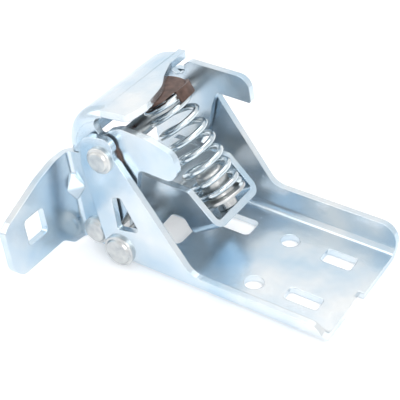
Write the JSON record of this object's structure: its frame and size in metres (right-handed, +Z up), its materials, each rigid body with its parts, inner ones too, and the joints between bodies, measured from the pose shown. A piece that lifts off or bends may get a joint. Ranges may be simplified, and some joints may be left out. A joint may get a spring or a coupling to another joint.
{
  "type": "spring-balanced lid hinge",
  "caption": "Zinc-plated steel lid hinge: U-shaped base, pivoting hooded bracket with a mounting ear, and a coil spring that holds it open.",
  "frame": {"origin": "underside of the base, midway between its two round fixing holes", "axes": "+X along the base to its free end, away from the pivots; +Y across the base, away from the mounting ear; +Z up out of the base"},
  "size_m": [0.1022, 0.0888, 0.059],
  "materials": {
    "zinc_sheet": "bright zinc plate with a faint blue sheen",
    "pin_steel": "turned and zinc plated",
    "spring_steel": "bright drawn wire",
    "seat_steel": "turned and zinc plated",
    "brown_plastic": "moulded brown plastic"
  },
  "bodies": {
    "base": {"base_channel": "zinc_sheet", "spring_cradle": "zinc_sheet", "pivot_pin": "pin_steel", "pivot_washer_near": "brown_plastic", "pivot_washer_far": "brown_plastic", "lower_pin": "pin_steel", "lower_spacer_near": "pin_steel", "lower_spacer_far": "pin_steel", "spring": "spring_steel", "lower_seat": "seat_steel"},
    "lid": {"lid_bracket": "zinc_sheet", "stop_pin": "pin_steel", "stop_sleeve": "pin_steel", "upper_seat": "brown_plastic"}
  },
  "joints": [
    {"name": "lid_swing", "type": "hinge", "parent": "base", "child": "lid", "pos_m": [-0.0505, 0.00135, 0.0408], "axis": [0, 1, 0], "range_deg": [0, 65], "stiffness_Nm_per_rad": 1, "springref_deg": -22.92, "deforming": ["spring"]}
  ]
}
